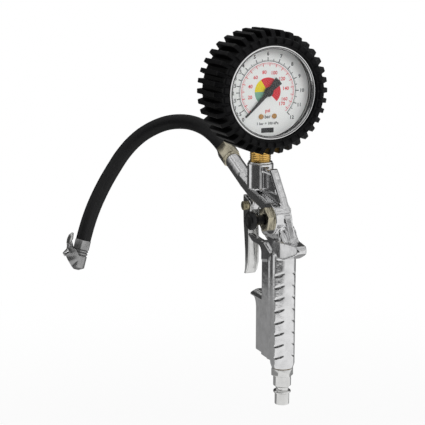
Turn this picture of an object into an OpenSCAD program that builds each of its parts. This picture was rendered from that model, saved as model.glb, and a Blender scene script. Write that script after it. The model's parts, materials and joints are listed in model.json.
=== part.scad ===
// Pistol-grip tyre inflator: cast body, quick-connect plug, lever trigger,
// bleed button, booted dial gauge and a short hose with a clip-on chuck.
// The origin is the centre of the plug's tip, +Z up along the handle,
// +Y forward from the palm to the fingers, the dial looks along -Y.

/* [Inlet plug] */
// Diameter of the plug's collar
plug_d = 12; // [11.6:0.1:12.4]
// Diameter of the plug's tip
plug_tip_d = 9.8; // [9:0.1:10.4]
// Length of the plug's tip
plug_tip_len = 7.5; // [6:0.5:9]
// Length of the plug from its tip to its hexagon
plug_len = 20; // [18:0.5:24]
// Bore of the plug
plug_bore_d = 6; // [5:0.5:7]
// Width across the flats of the plug's hexagon
hex_af = 13; // [12.4:0.2:14.4]
// Thickness of the plug's hexagon
hex_h = 5.2; // [4:0.2:7]

/* [Handle] */
// Length of the handle from the plug's washer to the shoulder
grip_len = 78; // [74:1:90]
// Radius of the handle's rounded back
grip_r = 8.2; // [7.8:0.1:9]
// Reach of the front strip ahead of the plug's axis
strip_reach = 19.6; // [18:0.2:20.4]
// Width of the front strip
strip_w = 13.6; // [12.4:0.2:14.4]
// Number of grip grooves on each side
groove_n = 8; // [4:1:9]
// Depth of the grip grooves
groove_d = 0.8; // [0.4:0.1:1.2]
// Reach of the finger fin ahead of the plug's axis
fin_reach = 32.7; // [29:0.5:34]
// Reach of the fin's flared lip ahead of the plug's axis
lip_reach = 38.8; // [36:0.2:41]
// Height of the finger fin
fin_len = 39; // [30:1:42]
// Thickness of the finger fin
fin_w = 10; // [8:0.5:11]

/* [Head] */
// Height of the valve axis above the handle's shoulder
valve_rise = 13.3; // [13:0.1:15]
// Width across the flats of the bleed valve's hexagon
bleed_af = 15; // [14:0.5:16]
// Diameter of the bleed button
button_d = 12.4; // [11:0.2:13.4]
// Travel of the bleed button
bleed_travel = 2.5; // [1.5:0.1:2.8]
// Height of the gauge port above the handle's shoulder
port_rise = 54.6; // [54:0.2:60]
// Diameter of the gauge port's boss
port_d = 17.8; // [16.6:0.2:19]
// Width of the back flange
flange_w = 5; // [4:0.2:7]
// Slope of the hose outlet above the horizontal
outlet_slope = 23; // [20:0.5:25]
// Diameter of the hose outlet's barrel
outlet_d = 11.6; // [11:0.2:12.4]

/* [Trigger] */
// Width of the trigger
trigger_w = 8.2; // [7.8:0.1:9.4]
// Wall of the trigger's channel
trigger_wall = 1.2; // [0.9:0.1:1.3]
// Length of the trigger below its pin
trigger_len = 49.5; // [44:0.5:52]
// Diameter of the trigger's pin
pin_d = 4; // [3:0.2:4.4]

/* [Gauge] */
// Outer diameter of the gauge's case
case_d = 63; // [62:0.5:64]
// Depth of the gauge's case
case_depth = 28; // [27:0.5:32]
// Wall of the rubber boot round the case, without its lugs
boot_wall = 5.2; // [4.4:0.1:6]
// Number of lugs round the boot
lug_n = 36; // [24:2:40]
// Depth of the boot's lugs
lug_depth = 4.6; // [3:0.2:5]
// Height of the dial's centre above the gauge port
dial_rise = 49.2; // [49:0.2:52]

/* [Hose and chuck] */
// Outer diameter of the hose
hose_d = 11; // [10:0.2:11.4]
// Width across the flats of the hose nut
hose_nut_af = 12.4; // [11.8:0.2:14]
// Length of the hose nut
hose_nut_len = 15.5; // [12:0.5:17]
// Diameter of the tyre valve's socket in the chuck
socket_d = 8.4; // [8:0.1:8.8]
// Outer diameter of the chuck's body
chuck_d = 11; // [10.6:0.1:11.6]

/* [Hidden] */
$fn = 64;

// Radial gap of a running or threaded fit, and the gap left between moving pieces
fit = 0.05;
gap = 0.35;
// Extra length that lets a cut run clear of a face
over = 1;

// Inlet plug
washer_h = 0.5;
plug_r = plug_d / 2;
tip_r = plug_tip_d / 2;
lock_r = plug_r - 0.1;
neck_r = tip_r - 0.6;
shank_r = 4.6;
shank_len = 9;
hex_z1 = plug_len + hex_h;
hex_turn = 44;

// Handle
grip_z0 = hex_z1 + washer_h;
grip_z1 = grip_z0 + grip_len;
foot_h = 3;
strip_half = strip_w / 2;
ridge_y = 8.4;
ridge_half = 1.1;
ridge_h = 0.5;
strip_z0 = grip_z0 + 3.5;
fin_z0 = grip_z0 + 3.6;
fin_z1 = fin_z0 + fin_len;
flare_h = 9;
lip_h = 1.5;
lip_over = 1.4;
lip_crown = 2.4;
way_r = 3;
groove_at = 47;
groove_slope = 22;
groove_len = 14;
groove_w = 0.9;

// Head
valve_z = grip_z1 + valve_rise;
valve_r = 4.6;
housing_r = 6.6;
housing_y1 = 22;
bleed_y = 4;
bleed_z = valve_z + 9.5;
hub_r = 10.6;
hub_half = 8.5;
hub_back = 3;
port_y = 37.5;
port_z = grip_z1 + port_rise;
port_r = 6.6;
port_depth = 10;
boss_r = port_d / 2;
boss_z0 = port_z - 17.4;
web_half = 1.2;
panel_half = 1.9;
rib_half = 6;
flange_half = flange_w / 2;
flange_t = 3.4;
flange_in = [0.855, -0.518] * flange_t;
flange_z0 = grip_z1 + 9.3;
flange_z1 = port_z - 1.6;
tail_y = -28.4;
neck_half = 5.6;

// Valve
seat_y0 = 6;
seat_y1 = 8;
disc_y0 = seat_y0 - gap - 2;
disc_y1 = seat_y0 - gap;
head_y0 = disc_y0 - 1.4;
stem_r = 1.4;
chamber_y0 = -3.8;
cap_y0 = 15;
cap_y1 = housing_y1 + 3;

// Trigger, turning on its pin
pin_r = pin_d / 2;
pivot = [48.2, valve_z + 10.4];
trigger_half = trigger_w / 2;
lug_half = trigger_half - trigger_wall - gap;
front_y = pivot[0] + 8.4;
plate_t = 1.7;
trigger_deep = 9.4;
eye_r = 3.7;
toe_z = pivot[1] - trigger_len;
stem_tip_y = front_y - plate_t - 2 * gap;

// Bleed valve
bleed_r = 4.6;
nut_x = -hub_half - 4.5;
bleed_stem_r = 2;
button_r = button_d / 2;
button_x0 = nut_x - 10.6;
bleed_seal_x = -hub_half + 7;
chamber_r = 3.6;
chamber_x1 = 1.8;
button_neck_r = 3.3;
button_neck = 11.1;
button_seat = 0.5 + bleed_travel + gap;

// Hose outlet: its axis runs through the hose's first point
hose_r = hose_d / 2;
hose_from = [0, 98, port_z + 0.7];
out_dir = [0, cos(outlet_slope), sin(outlet_slope)];
outlet_root_y = 57;
outlet_len = (hose_from[1] - outlet_root_y) / cos(outlet_slope) - hose_nut_len;
outlet_end = hose_from - hose_nut_len * out_dir;
outlet_start = outlet_end - outlet_len * out_dir;
outlet_r = outlet_d / 2;
barb_r = 3;
barb_in = 12;

// Gauge
dial_z = port_z + dial_rise;
case_r = case_d / 2;
case_t = 0.9;
bezel_y0 = 17.7;
bezel_r = case_r - 1.6;
case_y0 = bezel_y0 + 3.6;
case_y1 = case_y0 + case_depth;
lens_y0 = bezel_y0 + 1.4;
lens_t = 2;
dial_y = bezel_y0 + 9;
dial_t = 0.6;
dial_r = case_r - case_t - 0.6;
socket_half = 7;
port_washer_r = 8.2;
port_washer_t = 1.2;
collar_r = 6.9;
block_z = port_z + 8;
block_h = 7;
tongue_half = 5.5;
stem_top_z = dial_z - 18.9;
pointer_y = dial_y - 2.2;
pointer_t = 0.6;
blade_len = 23.2;
tail_len = 10.6;
tail_half = 3.1;
pointer_hub_r = 3.2;
screw_x = 4.8;
screw_z = dial_z - 16.4;
boot_base_r = case_r + boot_wall;
boot_in_r = case_r + 0.3;
boot_y0 = bezel_y0 - 2.3;
boot_y1 = case_y1 + 2.7;
lip_r = bezel_r + 1.2;
slot_h = 12;

// Movement: a pinion on the pointer's arbor and a sector below it
tooth_pitch = 1.1;
pinion_n = 10;
sector_n = 80;
pinion_r = pinion_n * tooth_pitch / (2 * PI);
sector_r = sector_n * tooth_pitch / (2 * PI);
sector_z = dial_z - pinion_r - sector_r;
sweep = 270;
sector_sweep = sweep * pinion_n / sector_n;
plate_y0 = dial_y + 4;
plate_y1 = plate_y0 + 5.4;
gear_y = plate_y0 + 2;
gear_t = 1.4;
arbor_r = 0.7;
axle_r = 0.8;
frame_half = 11;
frame_top = dial_z + 6;
frame_t = 1;
pillar_r = 1.2;
pillar_x = frame_half - 1.6;
tube_r = 22;
tube_t = 1.6;
tube_w = 5;
spring_r = 5;

// Pin on the sector's tail that the link turns on: in the sector's own frame, and at rest
tail_at = [-7.5, 0.3];
tail_pin_r = 0.5;
rest_turn = sector_sweep / 2;
link_at = [
  tail_at[0] * cos(rest_turn) + tail_at[1] * sin(rest_turn),
  sector_z - tail_at[0] * sin(rest_turn) + tail_at[1] * cos(rest_turn)
];
link_end = link_at + [-8.1, 6.1];
link_half = 0.9;
link_y0 = gear_y + gear_t + 0.1;
link_y1 = link_y0 + 0.6;

// Hose route: points chosen by hand from the nut to the chuck, measured from the hose's first point
hose_steps = [
  [0, 0, 0], [0, 10, 4], [-1.5, 20, 8.3], [-4.5, 29.5, 12], [-10, 39, 14.6], [-16.5, 47.3, 15],
  [-24, 54.7, 13.4], [-32, 60.6, 9.6], [-40.4, 64.8, 4], [-48.5, 66.7, -3.1],
  [-56, 66.6, -11.2], [-63, 64.6, -19.7], [-69.8, 61.5, -28], [-76.2, 57.8, -36.4],
  [-82, 54.4, -45.2], [-87.4, 51.4, -55.6], [-92.5, 49, -69]
];
route = [for (p = hose_steps) hose_from + p];
chuck_at = route[len(route) - 1];
chuck_turn = [12, -13.5, 155];
hose_sides = 12;

// Chuck, in its own frame: the hose's end is the origin and +z runs up the hose
chuck_r = chuck_d / 2;
nut_len = 7;
socket_c = [0, -11.4];
socket_out = 8.7;
socket_lean = 48;
socket_r = socket_d / 2;
rim_r = 6.3;
socket_deep = 7;
mouth_c = 0.4;
seal_r = 3.7;
seal_t = 2.5;
seal_z = socket_out - socket_deep - seal_t - 0.15;
clip_c = [8.8, -6.2];
clip_half = 3.1;
clip_pin_r = 1;
ear_t = 1.5;

// ---------------------------------------------------------------- helpers

// Round bars along each axis
module bar_x(r, x0, x1, y = 0, z = 0)
  translate([x0, y, z]) rotate([0, 90, 0]) cylinder(h = x1 - x0, r = r);
module bar_y(r, y0, y1, z = 0, x = 0)
  translate([x, y0, z]) rotate([-90, 0, 0]) cylinder(h = y1 - y0, r = r);
module bar_z(r, z0, z1, x = 0, y = 0)
  translate([x, y, z0]) cylinder(h = z1 - z0, r = r);

// Rings along Y and Z
module ring_y(r_out, r_in, y0, y1, z = 0) difference() {
  bar_y(r_out, y0, y1, z);
  bar_y(r_in, y0 - over, y1 + over, z);
}
module ring_z(r_out, r_in, z0, z1, y = 0) difference() {
  bar_z(r_out, z0, z1, 0, y);
  bar_z(r_in, z0 - over, z1 + over, 0, y);
}

// Plates cut from a side outline of [y, z] or a front outline of [x, z] points
module side_plate(outline, half)
  rotate([90, 0, 90]) translate([0, 0, -half]) linear_extrude(2 * half) polygon(outline);
module front_plate(outline, y0, y1)
  translate([0, y1, 0]) rotate([90, 0, 0]) linear_extrude(y1 - y0) polygon(outline);

// A round bar from one point to another
module bar_between(from, to, r) {
  way = to - from;
  len = norm(way);
  translate(from) rotate([0, acos(way[2] / len), atan2(way[1], way[0])]) cylinder(h = len, r = r);
}

// Places a child on the hose outlet's axis, its +Z along the axis
module on_outlet(at = outlet_end) translate(at) rotate([outlet_slope - 90, 0, 0]) children();

// Places a child in the chuck's frame
module in_chuck() translate(chuck_at) rotate(chuck_turn) children();

// Places a child on the socket's axis, its +z pointing out of the socket's mouth
module on_socket()
  translate([socket_c[0], 0, socket_c[1]]) rotate([0, 180 - socket_lean, 0]) children();

// Points on an arc of a circle in a side outline
function arc(c, r, a0, a1, n) =
  [for (i = [0:n]) let (a = a0 + (a1 - a0) * i / n) c + r * [cos(a), sin(a)]];

// ---------------------------------------------------------------- body

// Handle: a rounded back, a flat front strip with a ridge along it, and a foot
module grip() {
  bar_z(grip_r, grip_z0 + foot_h, grip_z1);
  translate([0, 0, grip_z0]) cylinder(h = foot_h, r1 = hex_af / 2 + 0.75, r2 = grip_r);
  side_plate([[0, strip_z0], [strip_reach, strip_z0], [strip_reach, grip_z1 + 1], [0, grip_z1]], strip_half);
  side_plate([
    [ridge_y - ridge_half, fin_z0], [ridge_y + ridge_half, fin_z0],
    [ridge_y + ridge_half, grip_z1], [ridge_y - ridge_half, grip_z1]
  ], strip_half + ridge_h);
}

// One shallow groove across the side of the handle, rising towards the back
module grip_groove(side, z)
  translate([0, 0, z]) rotate([0, 0, side > 0 ? -groove_at : 180 + groove_at])
    translate([grip_r - groove_d, 0, 0]) rotate([-side * groove_slope, 0, 0])
      translate([0, -groove_len / 2, -groove_w / 2]) cube([3, groove_len, groove_w]);

// Fin that keeps the hand on the handle: a plate with a flared front and a crowned lip
module fin() {
  flare = [for (a = [0:15:90]) [
    fin_reach + (lip_reach - fin_reach) * (1 - cos(a)),
    fin_z1 - flare_h + (flare_h - lip_h) * sin(a)
  ]];
  root_y = strip_reach - 2;
  side_plate(
    concat([[root_y, fin_z0], [fin_reach, fin_z0]], flare, [[root_y, fin_z1 - lip_h]]),
    fin_w / 2
  );
  lip_half = fin_w / 2 + lip_over;
  crown = [for (s = [1:-0.25:-1]) [lip_half * s, fin_z1 + lip_crown * (1 - s * s)]];
  front_plate(
    concat([[-lip_half, fin_z1 - lip_h], [lip_half, fin_z1 - lip_h]], crown),
    root_y, lip_reach
  );
}

// Cheeks that carry the strip forward on both sides of the valve
module cheeks() difference() {
  side_plate(concat(
    [[8, grip_z1 - 6], [strip_reach, grip_z1 - 8]],
    arc([strip_reach + 4, grip_z1 - 3], 4, 180, 90, 4),
    [[34, grip_z1 + 1.4], [40.5, grip_z1 + 4.6], [40.5, grip_z1 + 6.2], [25, grip_z1 + 5.4],
     [15.4, grip_z1 + 4.8], [3, grip_z1 - 1.6]]
  ), strip_half + 0.5);
  translate([-lug_half - trigger_wall, strip_reach + 1, grip_z1 - 2]) cube([trigger_w - 2 * gap, 30, 12]);
}

// Neck between the handle's shoulder and the hub
module neck() side_plate([
  [-8, grip_z1 - 1], [13, grip_z1 - 1], [14, grip_z1 + 8], [bleed_y + 8, bleed_z - 6],
  [bleed_y - 8, bleed_z - 4], [-13, grip_z1 + 9]
], neck_half);

// Tail behind the neck: a beak in side view, tapering to a blunt tip in plan
module tail() intersection() {
  side_plate([for (p = [
    [2, -1.5], [-12, -1.5], [-17.5, 0.6], [-24, 3.3], [tail_y + 0.8, 5.5], [tail_y, 6.9],
    [tail_y + 1, 8.5], [-25, 9.8], [-18, 9.8], [2, 9.4]
  ]) [p[0], grip_z1 + p[1]]], 8);
  translate([0, 0, grip_z1 - 5]) linear_extrude(20) polygon([
    [7.6, 3], [6.8, -9], [3.4, tail_y + 1.5], [1.6, tail_y],
    [-1.6, tail_y], [-3.4, tail_y + 1.5], [-6.8, -9], [-7.6, 3]
  ]);
}

// Back flange, curved over at its top, with the web and the panel that tie it to the gauge port
function flange_at(y, up) = [y, flange_z0 + up * (flange_z1 - flange_z0)];
flange_path = [
  flange_at(14.4, 1), flange_at(12.6, 0.96), flange_at(9.9, 0.885), flange_at(7, 0.8),
  flange_at(0.9, 0.636), flange_at(-7, 0.355), flange_at(-14, 0.06), flange_at(-16, 0)
];

module flange_and_web() {
  inner = [for (i = [len(flange_path) - 1:-1:0]) flange_path[i] + flange_in];
  end = flange_path[0] + flange_in / 2;
  side_plate(concat(flange_path, inner), flange_half);
  bar_x(flange_t / 2, -flange_half, flange_half, end[0], end[1]);
  side_plate(concat(
    [[port_y - 6, boss_z0 - 2], [port_y - 6, port_z - 3.4]],
    arc([port_y - 15, port_z + 1.4], 7, -30, -140, 6),
    [for (p = flange_path) p + flange_in / 2],
    [[bleed_y, bleed_z - 4]]
  ), web_half);
  side_plate([
    [port_y - 6, boss_z0 + 3], [port_y - 6, port_z - 5.6], [12.1, port_z - 5.8], [6.6, boss_z0 + 4.6]
  ], panel_half);
}

// Diagonal rib under the gauge port, which carries the air way to the hose
module rib() {
  side_plate([
    [bleed_y - 2, bleed_z - 6], [26.5, valve_z + 12.3], [41, valve_z + 15.4], [60, valve_z + 22.2],
    [62, valve_z + 31], [44, valve_z + 25.6], [33.8, valve_z + 22.6], [9.6, valve_z + 17.6],
    [bleed_y - 3, bleed_z + 8]
  ], rib_half - 0.9);
  side_plate([
    [bleed_y - 2, bleed_z - 4.6], [26.5, valve_z + 13.5], [41, valve_z + 16.6], [60, valve_z + 23.4],
    [61, valve_z + 29.6], [44, valve_z + 24.4], [33.8, valve_z + 21.4], [9.6, valve_z + 16.4],
    [bleed_y - 3, bleed_z + 6.6]
  ], rib_half);
}

// Lug that the trigger straddles
module trigger_lug() {
  bar_x(eye_r, -lug_half, lug_half, pivot[0], pivot[1]);
  side_plate([
    pivot - [eye_r, 0], pivot + [eye_r, 0], [pivot[0] + 4.6, valve_z + 22], [pivot[0] - 8, valve_z + 19]
  ], lug_half);
}

module gun_body() color("silver") difference() {
  union() {
    grip();
    fin();
    cheeks();
    neck();
    tail();
    bar_y(housing_r, -6, housing_y1, valve_z);
    bar_x(hub_r, -hub_half, hub_back, bleed_y, bleed_z);
    flange_and_web();
    rib();
    on_outlet(outlet_start) cylinder(h = outlet_len, r = outlet_r);
    bar_z(boss_r, boss_z0, port_z, 0, port_y);
    trigger_lug();
  }
  for (i = [0:groove_n - 1], side = [-1, 1])
    grip_groove(side, grip_z0 + 5 + (i + 0.5) * (grip_len - 14) / groove_n);
  // Air ways: the inlet, valve chamber, upper way, outlet, gauge port and bleed chamber
  bar_z(shank_r + fit, grip_z0 - over, grip_z0 + shank_len + over);
  bar_z(way_r, grip_z0, valve_z);
  bar_y(valve_r + fit, chamber_y0, housing_y1 + over, valve_z);
  bar_z(1.6, valve_z, bleed_z + 5.2, 0, 11);
  bar_between([0, bleed_y, bleed_z + 4], outlet_start + 3 * out_dir, 1.9);
  on_outlet(outlet_start) cylinder(h = outlet_len + over, r = 2.2);
  on_outlet() translate([0, 0, -barb_in]) cylinder(h = barb_in + over, r = barb_r + fit);
  bar_z(port_r, port_z - port_depth, port_z + over, 0, port_y);
  bar_z(1.5, boss_z0 - 4, port_z - port_depth + over, 0, port_y);
  bar_x(bleed_r + fit, -hub_half - over, bleed_seal_x, bleed_y, bleed_z);
  bar_x(chamber_r, bleed_seal_x - over, chamber_x1, bleed_y, bleed_z);
  bar_x(pin_r + fit, -lug_half - over, lug_half + over, pivot[0], pivot[1]);
}

// ---------------------------------------------------------------- inlet

module inlet_plug() color("gainsboro") {
  difference() {
    union() {
      rotate_extrude() polygon([
        [0, 0], [tip_r, 0], [tip_r, plug_tip_len], [lock_r, plug_tip_len + 0.8],
        [lock_r, plug_tip_len + 1.8], [neck_r, plug_tip_len + 2.8],
        [neck_r, plug_tip_len + 4.8], [plug_r, plug_tip_len + 5.6],
        [plug_r, plug_len], [shank_r, plug_len], [shank_r, grip_z0 + shank_len], [0, grip_z0 + shank_len]
      ]);
      translate([0, 0, plug_len]) rotate([0, 0, hex_turn])
        cylinder(h = hex_h, r = hex_af / 2 / cos(30), $fn = 6);
    }
    bar_z(plug_bore_d / 2, -over, grip_z0 + shank_len + over);
  }
}

module inlet_washer() color("darkgoldenrod") ring_z(hex_af / 2, shank_r + fit, hex_z1, grip_z0);

// ---------------------------------------------------------------- trigger and valve

// Side outline of the trigger: a curved finger face, a round head on the pin and a toe
function trigger_at(down, in) = [front_y - in * trigger_deep, pivot[1] - down * trigger_len];
trigger_face = [
  [front_y, pivot[1] + 6.4], trigger_at(0.08, -0.02), trigger_at(0.26, 0.03), trigger_at(0.46, 0.19),
  trigger_at(0.67, 0.34), trigger_at(0.84, 0.37), trigger_at(0.94, 0.31), trigger_at(1, 0.17)
];
trigger_back = [
  trigger_at(1, 0.32), trigger_at(0.93, 0.66), trigger_at(0.82, 0.91), trigger_at(0.68, 0.98),
  trigger_at(0.44, 1), trigger_at(0.24, 0.89), pivot - [eye_r, 3], pivot - [eye_r, 0]
];

module trigger_lever() color("silver") difference() {
  union() {
    side_plate(concat(trigger_face, trigger_back, [pivot + [0, eye_r]]), trigger_half);
    bar_x(eye_r, -trigger_half, trigger_half, pivot[0], pivot[1]);
  }
  side_plate(concat(
    [for (p = trigger_face) p - [plate_t, p[1] > pivot[1] ? -over : 0]],
    [[pivot[0] - 1.5 * trigger_deep, toe_z], pivot + [-1.5, 1] * trigger_deep]
  ), trigger_half - trigger_wall);
  bar_x(pin_r + fit, -trigger_half - over, trigger_half + over, pivot[0], pivot[1]);
}

module trigger_pin() color("darkkhaki") difference() {
  union() {
    bar_x(pin_r, -trigger_half - 1, trigger_half + 2.2, pivot[0], pivot[1]);
    bar_x(3.1, -trigger_half - 4, -trigger_half - gap, pivot[0], pivot[1]);
  }
  difference() {
    bar_x(pin_r + over, trigger_half + gap, trigger_half + gap + 0.8, pivot[0], pivot[1]);
    bar_x(pin_r - 0.4, trigger_half, trigger_half + 2, pivot[0], pivot[1]);
  }
}

module pin_clip() color("dimgray") difference() {
  bar_x(pin_r + 1.2, trigger_half + gap, trigger_half + gap + 0.8, pivot[0], pivot[1]);
  bar_x(pin_r - 0.4, trigger_half, trigger_half + 3, pivot[0], pivot[1]);
  translate([trigger_half, pivot[0] - 0.9, pivot[1] - 5]) cube([3, 1.8, 5]);
}

module valve_seat() color("gold") ring_y(valve_r, 2.2, seat_y0, seat_y1, valve_z);

module valve_disc() color("black") ring_y(3.5, stem_r, disc_y0, disc_y1, valve_z);

module valve_stem() color("gainsboro") {
  bar_y(stem_r, head_y0, stem_tip_y, valve_z);
  bar_y(3.4, head_y0, disc_y0, valve_z);
}

module valve_spring() color("gray") ring_y(3, 2.2, chamber_y0, head_y0 - gap / 2, valve_z);

module valve_cap() color("darkkhaki") difference() {
  union() {
    bar_y(valve_r, cap_y0, housing_y1, valve_z);
    translate([0, housing_y1, valve_z]) rotate([-90, 0, 0])
      cylinder(h = cap_y1 - housing_y1, r = 5.6, $fn = 6);
  }
  bar_y(stem_r + fit, cap_y0 - over, cap_y1 + over, valve_z);
  bar_y(2.7, cap_y0 - over, cap_y0 + 3, valve_z);
}

module stem_seal() color("black") ring_y(2.7, stem_r + fit, cap_y0 + 1, cap_y0 + 3, valve_z);

// ---------------------------------------------------------------- bleed valve

module bleed_nut() color("darkkhaki") difference() {
  union() {
    translate([nut_x, bleed_y, bleed_z]) rotate([0, 90, 0]) rotate([0, 0, 12])
      cylinder(h = -hub_half - nut_x, r = bleed_af / 2 / cos(30), $fn = 6);
    bar_x(bleed_r, -hub_half, bleed_seal_x - 4, bleed_y, bleed_z);
  }
  bar_x(bleed_stem_r + fit, nut_x - over, bleed_seal_x, bleed_y, bleed_z);
  bar_x(button_neck_r + gap, nut_x - over, nut_x + button_seat, bleed_y, bleed_z);
}

module bleed_seal() color("black") difference() {
  bar_x(3.2, bleed_seal_x - 4 + gap, bleed_seal_x - 2.4, bleed_y, bleed_z);
  bar_x(bleed_stem_r, -20, 10, bleed_y, bleed_z);
}

module bleed_stem() color("gainsboro") {
  bar_x(bleed_stem_r, button_x0 + 2.4, bleed_seal_x - 2.4, bleed_y, bleed_z);
  bar_x(3.2, bleed_seal_x - 2.4, bleed_seal_x - 1.4, bleed_y, bleed_z);
}

module bleed_spring() color("gray") difference() {
  bar_x(3.1, bleed_seal_x - 1.4 + gap / 2, chamber_x1, bleed_y, bleed_z);
  bar_x(2.3, -20, 10, bleed_y, bleed_z);
}

// Mushroom button with a dished face and a waisted neck
module bleed_button() color("black")
  translate([button_x0, bleed_y, bleed_z]) rotate([0, 90, 0]) difference() {
    rotate_extrude() polygon([
      [0, 0.5], [2.6, 0.4], [4.2, 0], [button_r - 0.8, 0], [button_r, 0.8], [button_r, 3.2],
      [button_r - 1.2, 4.3], [button_neck_r + 0.5, 5.4], [button_neck_r, 6.4],
      [button_neck_r, button_neck], [0, button_neck]
    ]);
    translate([0, 0, 2.4]) cylinder(h = button_neck, r = bleed_stem_r);
  }

// ---------------------------------------------------------------- gauge

module gauge_washer() color("gainsboro")
  ring_z(port_washer_r, port_r, port_z, port_z + port_washer_t, port_y);

module gauge_socket() color("gold") difference() {
  union() {
    bar_z(port_r - fit, port_z - port_depth + over, port_z + 2, 0, port_y);
    bar_z(collar_r, port_z + port_washer_t, block_z, 0, port_y);
    translate([-socket_half, port_y - socket_half, block_z])
      cube([2 * socket_half, 2 * socket_half, block_h]);
    translate([-tongue_half, port_y - tongue_half, block_z + block_h - over])
      cube([2 * tongue_half, 2 * tongue_half, stem_top_z - block_z - block_h + over]);
  }
  bar_z(1.5, port_z - port_depth - over, stem_top_z - 3, 0, port_y);
}

module gauge_case() color("gainsboro") difference() {
  bar_y(case_r, case_y0, case_y1, dial_z);
  bar_y(case_r - case_t, case_y0 - over, case_y1 - case_t, dial_z);
  translate([-socket_half - fit, port_y - socket_half - fit, dial_z - case_r - 3])
    cube([2 * (socket_half + fit), 2 * (socket_half + fit), slot_h]);
}

module bezel_ring() color("lightgray")
  translate([0, case_y0, dial_z]) rotate([90, 0, 0]) rotate_extrude() polygon([
    [bezel_r - 1.4, 2.4], [bezel_r - 0.6, 3.4], [bezel_r + 0.2, 3.6], [case_r - 0.5, 3.4],
    [case_r, 2.8], [case_r, 0], [bezel_r + 0.6, 0], [bezel_r + 0.6, 2.2]
  ]);

module gauge_lens() color([0.9, 0.95, 1, 0.4]) bar_y(bezel_r + 0.5, lens_y0, lens_y0 + lens_t, dial_z);

module lens_gasket() color("dimgray")
  ring_y(bezel_r + 0.5, bezel_r - 1, lens_y0 + lens_t, lens_y0 + lens_t + 0.8, dial_z);

module dial_plate() color("white") difference() {
  bar_y(dial_r, dial_y, dial_y + dial_t, dial_z);
  bar_y(2, dial_y - over, dial_y + dial_t + over, dial_z);
  for (x = [-screw_x, screw_x]) bar_y(1.1, dial_y - over, dial_y + dial_t + over, screw_z, x);
}

module dial_screws() color("goldenrod") for (x = [-screw_x, screw_x]) {
  bar_y(1.05, dial_y - 0.2, plate_y0, screw_z, x);
  bar_y(1.7, dial_y - 0.8, dial_y - 0.02, screw_z, x);
}

// Pointer at zero: a tapering blade and a wedge-shaped tail
module gauge_pointer() color("black")
  translate([0, pointer_y + pointer_t, dial_z]) rotate([0, -sweep / 2, 0]) rotate([90, 0, 0]) difference() {
    union() {
      linear_extrude(pointer_t) polygon([[-0.35, blade_len], [0.35, blade_len], [1.5, 0], [-1.5, 0]]);
      linear_extrude(pointer_t) polygon([
        [-1.2, 0], [1.2, 0], [tail_half, 0.4 - tail_len], [0, -tail_len], [-tail_half, 0.4 - tail_len]
      ]);
      cylinder(h = pointer_t, r = pointer_hub_r);
    }
    translate([0, 0, -over]) cylinder(h = pointer_t + 2 * over, r = arbor_r);
  }

// A toothed outline: n teeth round a circle, of which the first to the last are cut
function teeth(r, n, first, last) = [
  for (i = [first:last], s = [[-0.3, -0.4], [-0.17, 0.2], [0.17, 0.2], [0.3, -0.4]])
    let (a = 90 - (i + s[0]) * 360 / n) (r + s[1]) * [cos(a), sin(a)]
];

module pointer_arbor() color("gold") {
  bar_y(arbor_r, pointer_y, plate_y1 + 0.8, dial_z);
  bar_y(1.6, pointer_y - 0.6, pointer_y, dial_z);
  translate([0, gear_y + gear_t, dial_z]) rotate([0, 180 - sweep / 2, 0]) rotate([90, 0, 0])
    linear_extrude(gear_t) polygon(teeth(pinion_r, pinion_n, 0, pinion_n - 1));
}

module sector_gear() color("gold") {
  translate([0, gear_y + gear_t - 0.2, sector_z]) rotate([0, rest_turn, 0]) rotate([90, 0, 0])
    linear_extrude(gear_t - 0.4) polygon(concat(
      teeth(sector_r, sector_n, -5.5, 5.5),
      [[1.6, 0], [1.2, -1.4], [-1.2, -1.4], tail_at + [0.2, -1.1], tail_at + [-0.9, 0],
       tail_at + [0.2, 1.1], [-1.6, 1.6]]
    ));
  bar_y(axle_r, plate_y0 - 0.6, plate_y1 + 0.6, sector_z);
  bar_y(tail_pin_r, gear_y + 0.6, link_y1, link_at[1], link_at[0]);
}

// Two plates that stand on the socket's block, held apart by pillars clear of the sector's swing
module movement_frame() color("goldenrod") {
  difference() {
    for (y = [plate_y0, plate_y1 - frame_t])
      translate([-frame_half, y, stem_top_z]) cube([2 * frame_half, frame_t, frame_top - stem_top_z]);
    bar_y(arbor_r + fit, plate_y0 - over, plate_y1 + over, dial_z);
    bar_y(axle_r + fit, plate_y0 - over, plate_y1 + over, sector_z);
  }
  for (x = [-pillar_x, pillar_x]) bar_y(pillar_r, plate_y0 + 0.5, plate_y1 - 0.5, frame_top - 2.4, x);
  bar_y(pillar_r, plate_y0 + 0.5, plate_y1 - 0.5, stem_top_z + 2, pillar_x);
}

module hairspring() color("lightsteelblue")
  ring_y(spring_r, spring_r - 1.6, gear_y + gear_t + 0.3, gear_y + gear_t + 0.9, dial_z);

// Flattened tube bent round the movement, from the socket block to its free tip
module bourdon_tube() color("gold") translate([0, port_y + tube_w - 0.6, dial_z]) rotate([90, 0, 0])
  linear_extrude(tube_w) difference() {
    circle(tube_r + tube_t / 2);
    circle(tube_r - tube_t / 2);
    polygon([
      [0, 0], [-2 * tube_r, -0.36 * tube_r], [-2 * tube_r, -2 * tube_r], [-4.6, -2 * tube_r],
      [-4.6, -tube_r + 1]
    ]);
  }

module tube_link() color("goldenrod") difference() {
  union() {
    bar_y(link_half, link_y0, link_y1, link_at[1], link_at[0]);
    bar_y(link_half, link_y0, link_y1, link_end[1], link_end[0]);
    translate([link_at[0], link_y0, link_at[1]])
      rotate([0, atan2(link_at[1] - link_end[1], link_end[0] - link_at[0]), 0])
        translate([0, 0, -0.6]) cube([norm(link_end - link_at), link_y1 - link_y0, 1.2]);
  }
  bar_y(tail_pin_r + fit, link_y0 - over, link_y1 + over, link_at[1], link_at[0]);
}

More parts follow.
